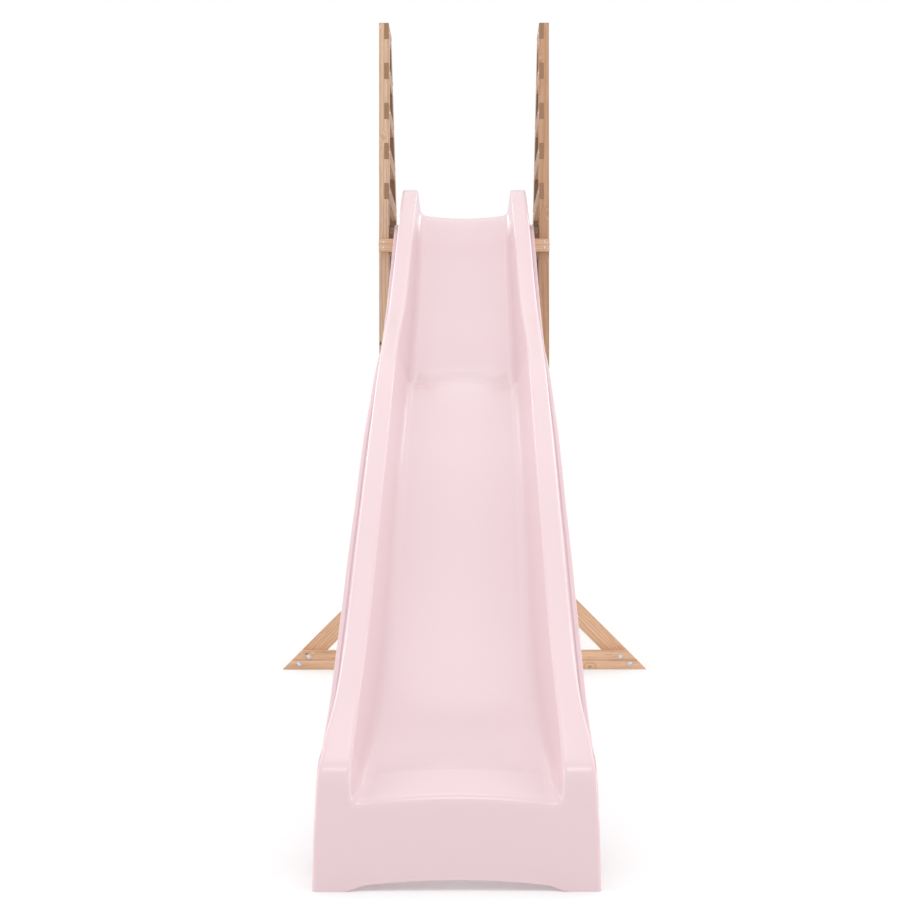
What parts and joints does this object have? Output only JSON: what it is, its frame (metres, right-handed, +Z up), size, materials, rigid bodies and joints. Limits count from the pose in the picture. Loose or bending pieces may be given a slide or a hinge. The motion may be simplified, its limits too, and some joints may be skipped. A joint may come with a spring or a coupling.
{
  "type": "toddler slide",
  "caption": "Moulded wave slide on a free-standing timber climbing frame with a rear ladder, small platform and guard slats.",
  "frame": {"origin": "on the ground, under the middle of the object's bounding box", "axes": "+Z up, +Y from the slide's foot towards the ladder, +X to the right of someone facing the slide's foot"},
  "size_m": [1.276, 4.0961, 2.28],
  "materials": {
    "pink_plastic": "moulded polyethylene, satin gloss",
    "cedar": "planed, lightly oiled",
    "zinc_steel": "bright zinc plated"
  },
  "bodies": {
    "root": {"slide_chute": "pink_plastic", "front_post_left": "cedar", "front_post_right": "cedar", "ladder_stringer_left": "cedar", "ladder_stringer_right": "cedar", "guard_slat_left_1": "cedar", "guard_slat_left_2": "cedar", "guard_slat_left_3": "cedar", "guard_slat_left_4": "cedar", "guard_slat_left_5": "cedar", "guard_slat_right_1": "cedar", "guard_slat_right_2": "cedar", "guard_slat_right_3": "cedar", "guard_slat_right_4": "cedar", "guard_slat_right_5": "cedar", "deck_bearer_left": "cedar", "deck_bearer_right": "cedar", "deck_board_1": "cedar", "deck_board_2": "cedar", "deck_board_3": "cedar", "deck_board_4": "cedar", "deck_board_5": "cedar", "deck_board_6": "cedar", "deck_board_7": "cedar", "front_crossboard": "cedar", "front_base_beam": "cedar", "base_brace_left": "cedar", "base_brace_right": "cedar", "ladder_tread_1": "cedar", "ladder_tread_2": "cedar", "ladder_tread_3": "cedar", "ladder_tread_4": "cedar", "ladder_tread_5": "cedar", "ladder_foot_rail": "cedar", "side_rail_left": "cedar", "side_rail_right": "cedar", "slide_clip_left": "zinc_steel", "slide_clip_right": "zinc_steel", "base_bolts": "zinc_steel", "base_nuts": "zinc_steel", "base_washers": "zinc_steel", "post_bolts": "zinc_steel", "crossboard_screws": "zinc_steel", "slat_screws_left": "zinc_steel", "slat_screws_right": "zinc_steel", "deck_screws": "zinc_steel", "tread_screws": "zinc_steel", "brace_screws": "zinc_steel", "bearer_bolts": "zinc_steel", "side_rail_screws": "zinc_steel", "foot_rail_screws": "zinc_steel", "clip_screws": "zinc_steel"}
  },
  "joints": []
}
